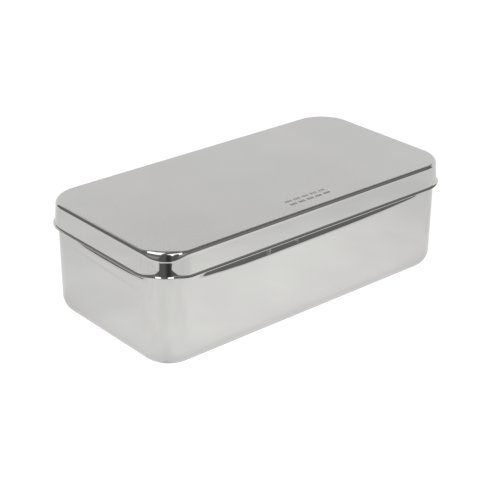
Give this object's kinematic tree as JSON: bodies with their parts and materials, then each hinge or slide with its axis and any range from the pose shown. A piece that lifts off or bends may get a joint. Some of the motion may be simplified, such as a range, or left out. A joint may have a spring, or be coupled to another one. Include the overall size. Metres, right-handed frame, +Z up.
{
  "type": "lidded instrument tray",
  "caption": "Rectangular drawn-steel instrument tray with rounded corners and a slip-over lid that lifts straight off.",
  "frame": {"origin": "on the surface that the tray stands on, under the centre of its base", "axes": "+X along the long side, +Y across it away from the marked edge of the lid, +Z up"},
  "size_m": [0.2054, 0.1054, 0.064],
  "materials": {
    "tray_steel": "bright polished outside, dull drawn finish inside",
    "lid_steel": "satin top, bright polished skirt, dull drawn finish inside"
  },
  "bodies": {
    "tray": {"tray": "tray_steel"},
    "lid": {"lid": "lid_steel"}
  },
  "joints": [
    {"name": "lid_lift", "type": "slide", "parent": "tray", "child": "lid", "axis": [0, 0, 1], "range_m": [0, 0.08]}
  ]
}
